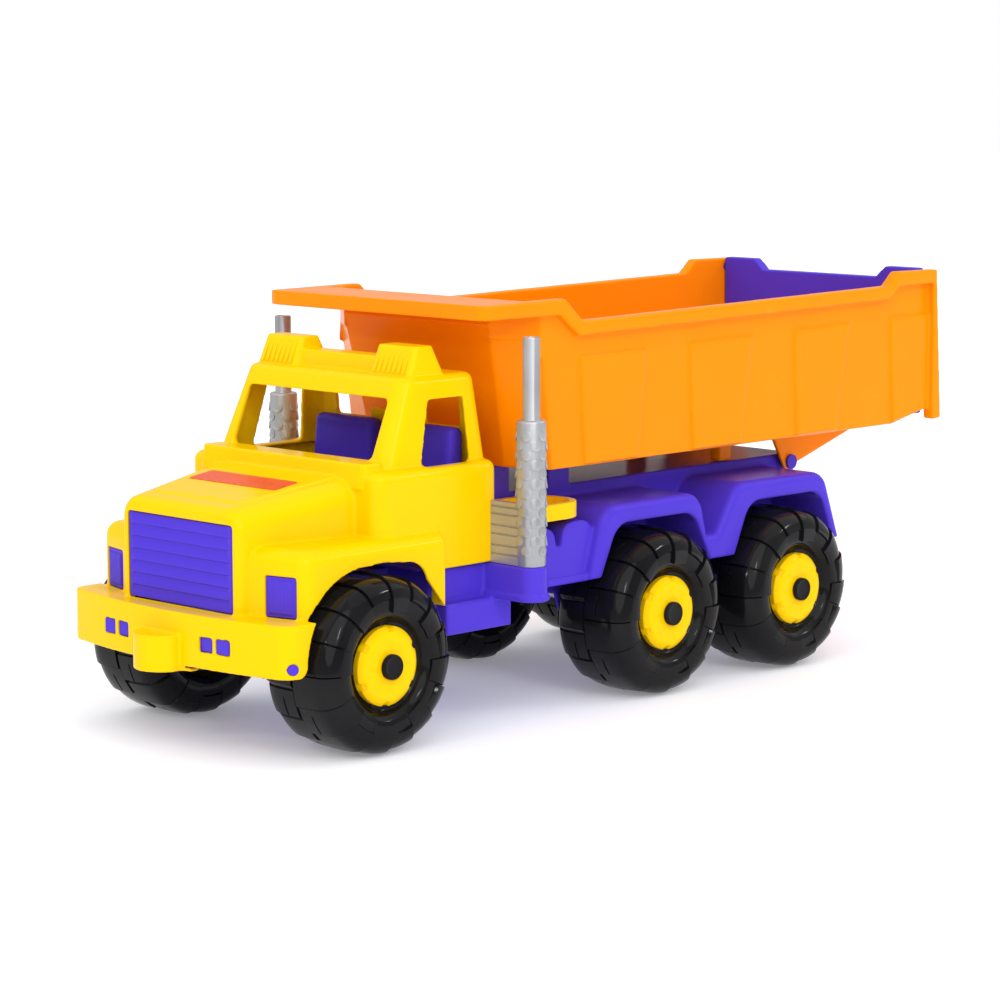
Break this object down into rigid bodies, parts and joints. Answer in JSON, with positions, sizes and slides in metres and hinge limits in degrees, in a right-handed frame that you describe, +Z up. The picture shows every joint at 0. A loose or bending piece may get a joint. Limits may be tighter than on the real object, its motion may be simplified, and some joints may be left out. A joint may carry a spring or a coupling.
{
  "type": "toy dump truck",
  "caption": "Large plastic toy dump truck with a bonneted cab, tipping bed, hanging tailgate and chunky free-rolling wheels.",
  "frame": {"origin": "on the ground, at the centre of the truck's plan box", "axes": "-Y towards the nose, +X towards the truck's left-hand side, +Z up"},
  "size_m": [0.322, 0.843, 0.3385],
  "materials": {
    "yellow_plastic": "glossy moulded plastic",
    "orange_plastic": "glossy moulded plastic",
    "purple_plastic": "glossy moulded plastic",
    "silver_plastic": "silver-pigmented plastic, satin gloss",
    "black_tyre": "glossy blow-moulded plastic",
    "black_plastic": "satin moulded plastic",
    "steel_rod": "drawn bright steel",
    "red_label": "printed film label, plain"
  },
  "bodies": {
    "root": {"cab_shell": "yellow_plastic", "grille_panel": "purple_plastic", "cab_seats": "purple_plastic", "hood_label": "red_label", "chassis_frame": "purple_plastic", "headlamp_left": "purple_plastic", "fog_lamps_left": "purple_plastic", "bumper_peg_left": "purple_plastic", "side_tray_left": "yellow_plastic", "exhaust_stack_left": "silver_plastic", "bed_hinge_pin_left": "purple_plastic", "headlamp_right": "purple_plastic", "fog_lamps_right": "purple_plastic", "bumper_peg_right": "purple_plastic", "side_tray_right": "yellow_plastic", "exhaust_stack_right": "silver_plastic", "bed_hinge_pin_right": "purple_plastic", "front_axle": "steel_rod", "front_left_axle_cap": "black_plastic", "front_right_axle_cap": "black_plastic", "middle_axle": "steel_rod", "middle_left_axle_cap": "black_plastic", "middle_right_axle_cap": "black_plastic", "rear_axle": "steel_rod", "rear_left_axle_cap": "black_plastic", "rear_right_axle_cap": "black_plastic"},
    "front_left_wheel": {"front_left_tyre": "black_tyre", "front_left_hub": "yellow_plastic"},
    "front_right_wheel": {"front_right_tyre": "black_tyre", "front_right_hub": "yellow_plastic"},
    "middle_left_wheel": {"middle_left_tyre": "black_tyre", "middle_left_hub": "yellow_plastic"},
    "middle_right_wheel": {"middle_right_tyre": "black_tyre", "middle_right_hub": "yellow_plastic"},
    "rear_left_wheel": {"rear_left_tyre": "black_tyre", "rear_left_hub": "yellow_plastic"},
    "rear_right_wheel": {"rear_right_tyre": "black_tyre", "rear_right_hub": "yellow_plastic"},
    "bed": {"dump_bed": "orange_plastic"},
    "gate": {"tailgate": "purple_plastic"}
  },
  "joints": [
    {"name": "front_left_spin", "type": "hinge", "parent": "root", "child": "front_left_wheel", "pos_m": [0.1057, -0.2925, 0.07], "axis": [1, 0, 0], "continuous": true},
    {"name": "front_right_spin", "type": "hinge", "parent": "root", "child": "front_right_wheel", "pos_m": [-0.1057, -0.2925, 0.07], "axis": [1, 0, 0], "continuous": true},
    {"name": "middle_left_spin", "type": "hinge", "parent": "root", "child": "middle_left_wheel", "pos_m": [0.1057, 0.0305, 0.07], "axis": [1, 0, 0], "continuous": true},
    {"name": "middle_right_spin", "type": "hinge", "parent": "root", "child": "middle_right_wheel", "pos_m": [-0.1057, 0.0305, 0.07], "axis": [1, 0, 0], "continuous": true},
    {"name": "rear_left_spin", "type": "hinge", "parent": "root", "child": "rear_left_wheel", "pos_m": [0.1057, 0.1995, 0.07], "axis": [1, 0, 0], "continuous": true},
    {"name": "rear_right_spin", "type": "hinge", "parent": "root", "child": "rear_right_wheel", "pos_m": [-0.1057, 0.1995, 0.07], "axis": [1, 0, 0], "continuous": true},
    {"name": "bed_tip", "type": "hinge", "parent": "root", "child": "bed", "pos_m": [0, 0.2765, 0.168], "axis": [-1, 0, 0], "range_deg": [0, 48]},
    {"name": "tailgate_swing", "type": "hinge", "parent": "bed", "child": "gate", "pos_m": [0, 0.3995, 0.329], "axis": [1, 0, 0], "range_deg": [0, 75]}
  ]
}
